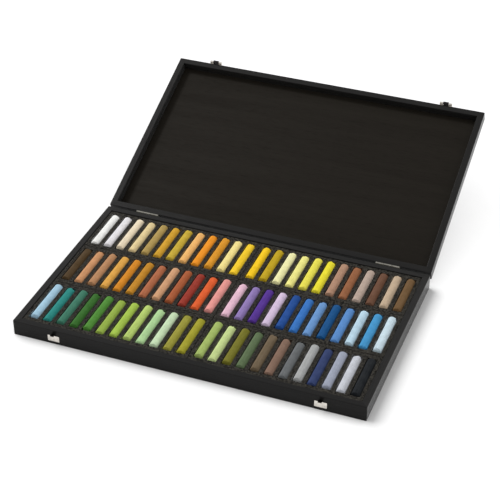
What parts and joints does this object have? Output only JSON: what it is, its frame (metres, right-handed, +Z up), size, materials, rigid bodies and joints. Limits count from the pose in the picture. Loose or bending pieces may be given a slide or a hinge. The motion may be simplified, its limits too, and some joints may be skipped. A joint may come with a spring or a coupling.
{
  "type": "pastel drawer box",
  "caption": "Flat black wooden case with a hinged lid, holding rows of round soft pastel sticks in slotted foam trays.",
  "frame": {"origin": "centre of the base's underside, on the surface that the case stands on", "axes": "+X to the right, +Y from the front with the catches to the back with the hinges, +Z up"},
  "size_m": [0.4428, 0.5312, 0.123],
  "materials": {
    "black_wood": "black stain, satin",
    "black_panel": "black stained ply, satin",
    "black_foam": "fine closed-cell foam",
    "nickel": "bright nickel plate",
    "pastel_teal": "matte pressed pigment",
    "pastel_green": "matte pressed pigment",
    "pastel_mint": "matte pressed pigment",
    "pastel_olive": "matte pressed pigment",
    "pastel_grey": "matte pressed pigment",
    "pastel_slate": "matte pressed pigment",
    "pastel_umber": "matte pressed pigment",
    "pastel_terracotta": "matte pressed pigment",
    "pastel_red": "matte pressed pigment",
    "pastel_violet": "matte pressed pigment",
    "pastel_blue": "matte pressed pigment",
    "pastel_sky": "matte pressed pigment",
    "pastel_white": "matte pressed pigment",
    "pastel_ochre": "matte pressed pigment",
    "pastel_orange": "matte pressed pigment",
    "pastel_gold": "matte pressed pigment",
    "pastel_lemon": "matte pressed pigment",
    "pastel_brown": "matte pressed pigment"
  },
  "bodies": {
    "base": {"base_front_wall": "black_wood", "base_back_wall": "black_wood", "base_left_wall": "black_wood", "base_right_wall": "black_wood", "base_bottom_panel": "black_panel", "hinge_base_leaf_left": "nickel", "hinge_pin_left": "nickel", "keeper_left": "nickel", "hinge_base_leaf_right": "nickel", "hinge_pin_right": "nickel", "keeper_right": "nickel", "hinge_screws_base": "nickel", "keeper_brads": "nickel"},
    "lid": {"lid_front_rail": "black_wood", "lid_back_rail": "black_wood", "lid_left_rail": "black_wood", "lid_right_rail": "black_wood", "lid_panel": "black_panel", "hinge_lid_leaf_left": "nickel", "catch_plate_left": "nickel", "catch_pin_left": "nickel", "hinge_lid_leaf_right": "nickel", "catch_plate_right": "nickel", "catch_pin_right": "nickel", "hinge_screws_lid": "nickel", "catch_brads": "nickel"},
    "catch_hasp_left": {"catch_hasp_left": "nickel"},
    "catch_hasp_right": {"catch_hasp_right": "nickel"},
    "foam_tray_front_left": {"foam_tray_front_left": "black_foam"},
    "sticks_teal": {"sticks_teal": "pastel_teal"},
    "sticks_green": {"sticks_green": "pastel_green"},
    "sticks_mint": {"sticks_mint": "pastel_mint"},
    "foam_tray_front_right": {"foam_tray_front_right": "black_foam"},
    "sticks_olive": {"sticks_olive": "pastel_olive"},
    "sticks_grey": {"sticks_grey": "pastel_grey"},
    "sticks_slate": {"sticks_slate": "pastel_slate"},
    "foam_tray_middle_left": {"foam_tray_middle_left": "black_foam"},
    "sticks_umber": {"sticks_umber": "pastel_umber"},
    "sticks_terracotta": {"sticks_terracotta": "pastel_terracotta"},
    "sticks_red": {"sticks_red": "pastel_red"},
    "foam_tray_middle_right": {"foam_tray_middle_right": "black_foam"},
    "sticks_violet": {"sticks_violet": "pastel_violet"},
    "sticks_blue": {"sticks_blue": "pastel_blue"},
    "sticks_sky": {"sticks_sky": "pastel_sky"},
    "foam_tray_back_left": {"foam_tray_back_left": "black_foam"},
    "sticks_white": {"sticks_white": "pastel_white"},
    "sticks_ochre": {"sticks_ochre": "pastel_ochre"},
    "sticks_orange": {"sticks_orange": "pastel_orange"},
    "foam_tray_back_right": {"foam_tray_back_right": "black_foam"},
    "sticks_gold": {"sticks_gold": "pastel_gold"},
    "sticks_lemon": {"sticks_lemon": "pastel_lemon"},
    "sticks_brown": {"sticks_brown": "pastel_brown"}
  },
  "joints": [
    {"name": "lid_hinge", "type": "hinge", "parent": "base", "child": "lid", "pos_m": [0, 0.13545, 0.02045], "axis": [-1, 0, 0], "range_deg": [-158.6, 0]},
    {"name": "hasp_hinge_left", "type": "hinge", "parent": "lid", "child": "catch_hasp_left", "pos_m": [0, 0.38774, 0.12104], "axis": [-1, 0, 0], "range_deg": [-170, 0]},
    {"name": "hasp_hinge_right", "type": "hinge", "parent": "lid", "child": "catch_hasp_right", "pos_m": [0, 0.38774, 0.12104], "axis": [-1, 0, 0], "range_deg": [-170, 0]},
    {"name": "lift_foam_tray_front_left", "type": "slide", "parent": "base", "child": "foam_tray_front_left", "axis": [0, 0, 1], "range_m": [0, 0.04]},
    {"name": "lift_sticks_teal", "type": "slide", "parent": "foam_tray_front_left", "child": "sticks_teal", "axis": [0, 0, 1], "range_m": [0, 0.04]},
    {"name": "lift_sticks_green", "type": "slide", "parent": "foam_tray_front_left", "child": "sticks_green", "axis": [0, 0, 1], "range_m": [0, 0.04]},
    {"name": "lift_sticks_mint", "type": "slide", "parent": "foam_tray_front_left", "child": "sticks_mint", "axis": [0, 0, 1], "range_m": [0, 0.04]},
    {"name": "lift_foam_tray_front_right", "type": "slide", "parent": "base", "child": "foam_tray_front_right", "axis": [0, 0, 1], "range_m": [0, 0.04]},
    {"name": "lift_sticks_olive", "type": "slide", "parent": "foam_tray_front_right", "child": "sticks_olive", "axis": [0, 0, 1], "range_m": [0, 0.04]},
    {"name": "lift_sticks_grey", "type": "slide", "parent": "foam_tray_front_right", "child": "sticks_grey", "axis": [0, 0, 1], "range_m": [0, 0.04]},
    {"name": "lift_sticks_slate", "type": "slide", "parent": "foam_tray_front_right", "child": "sticks_slate", "axis": [0, 0, 1], "range_m": [0, 0.04]},
    {"name": "lift_foam_tray_middle_left", "type": "slide", "parent": "base", "child": "foam_tray_middle_left", "axis": [0, 0, 1], "range_m": [0, 0.04]},
    {"name": "lift_sticks_umber", "type": "slide", "parent": "foam_tray_middle_left", "child": "sticks_umber", "axis": [0, 0, 1], "range_m": [0, 0.04]},
    {"name": "lift_sticks_terracotta", "type": "slide", "parent": "foam_tray_middle_left", "child": "sticks_terracotta", "axis": [0, 0, 1], "range_m": [0, 0.04]},
    {"name": "lift_sticks_red", "type": "slide", "parent": "foam_tray_middle_left", "child": "sticks_red", "axis": [0, 0, 1], "range_m": [0, 0.04]},
    {"name": "lift_foam_tray_middle_right", "type": "slide", "parent": "base", "child": "foam_tray_middle_right", "axis": [0, 0, 1], "range_m": [0, 0.04]},
    {"name": "lift_sticks_violet", "type": "slide", "parent": "foam_tray_middle_right", "child": "sticks_violet", "axis": [0, 0, 1], "range_m": [0, 0.04]},
    {"name": "lift_sticks_blue", "type": "slide", "parent": "foam_tray_middle_right", "child": "sticks_blue", "axis": [0, 0, 1], "range_m": [0, 0.04]},
    {"name": "lift_sticks_sky", "type": "slide", "parent": "foam_tray_middle_right", "child": "sticks_sky", "axis": [0, 0, 1], "range_m": [0, 0.04]},
    {"name": "lift_foam_tray_back_left", "type": "slide", "parent": "base", "child": "foam_tray_back_left", "axis": [0, 0, 1], "range_m": [0, 0.04]},
    {"name": "lift_sticks_white", "type": "slide", "parent": "foam_tray_back_left", "child": "sticks_white", "axis": [0, 0, 1], "range_m": [0, 0.04]},
    {"name": "lift_sticks_ochre", "type": "slide", "parent": "foam_tray_back_left", "child": "sticks_ochre", "axis": [0, 0, 1], "range_m": [0, 0.04]},
    {"name": "lift_sticks_orange", "type": "slide", "parent": "foam_tray_back_left", "child": "sticks_orange", "axis": [0, 0, 1], "range_m": [0, 0.04]},
    {"name": "lift_foam_tray_back_right", "type": "slide", "parent": "base", "child": "foam_tray_back_right", "axis": [0, 0, 1], "range_m": [0, 0.04]},
    {"name": "lift_sticks_gold", "type": "slide", "parent": "foam_tray_back_right", "child": "sticks_gold", "axis": [0, 0, 1], "range_m": [0, 0.04]},
    {"name": "lift_sticks_lemon", "type": "slide", "parent": "foam_tray_back_right", "child": "sticks_lemon", "axis": [0, 0, 1], "range_m": [0, 0.04]},
    {"name": "lift_sticks_brown", "type": "slide", "parent": "foam_tray_back_right", "child": "sticks_brown", "axis": [0, 0, 1], "range_m": [0, 0.04]}
  ]
}
